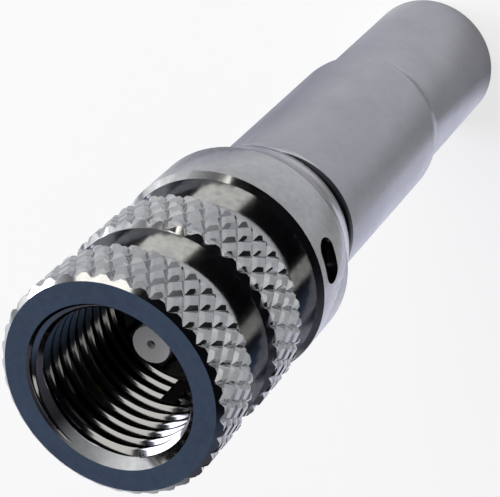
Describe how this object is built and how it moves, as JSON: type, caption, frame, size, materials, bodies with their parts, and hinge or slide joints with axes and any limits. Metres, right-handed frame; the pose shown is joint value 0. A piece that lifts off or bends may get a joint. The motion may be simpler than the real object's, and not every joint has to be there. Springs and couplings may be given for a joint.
{
  "type": "threaded twinax plug",
  "caption": "Straight cable plug with a knurled threaded coupling nut, a white insulated centre post and a stepped crimp ferrule for twinaxial cable.",
  "frame": {"origin": "centre of the crimp ferrule's rear end, which the plug stands on", "axes": "+Z along the plug's axis, towards the threaded mouth; -X and -Y roughly towards the spanner slot that the picture shows"},
  "size_m": [0.0152, 0.0152, 0.0573],
  "materials": {
    "nut_nickel": "bright nickel plate on brass",
    "ferrule_nickel": "satin nickel plate on soft copper",
    "body_nickel": "nickel plate on brass",
    "spring_metal": "bare spring metal",
    "gold_contact": "thin gold plate",
    "white_insulator": "smooth white fluoroplastic",
    "seal_rubber": "soft black rubber",
    "black_nylon": "smooth nylon"
  },
  "bodies": {
    "ferrule": {"crimp_ferrule": "ferrule_nickel"},
    "plug": {"plug_body": "body_nickel", "nut_retaining_ring": "spring_metal", "wave_washer": "spring_metal", "body_o_ring": "seal_rubber", "mating_gasket": "seal_rubber", "shield_contact": "body_nickel", "front_insulator": "white_insulator", "rear_insulator": "white_insulator", "insulator_lock_ring": "body_nickel", "intermediate_contact": "gold_contact", "post_insulator": "white_insulator", "centre_contact": "gold_contact"},
    "nut": {"coupling_nut": "nut_nickel", "thread_lock_strip": "black_nylon"}
  },
  "joints": [
    {"name": "ferrule_slide", "type": "slide", "parent": "ferrule", "child": "plug", "axis": [0, 0, 1], "range_m": [0, 0.02]},
    {"name": "nut_spin", "type": "hinge", "parent": "plug", "child": "nut", "pos_m": [0, 0, 0.0434], "axis": [0, 0, 1], "continuous": true}
  ]
}
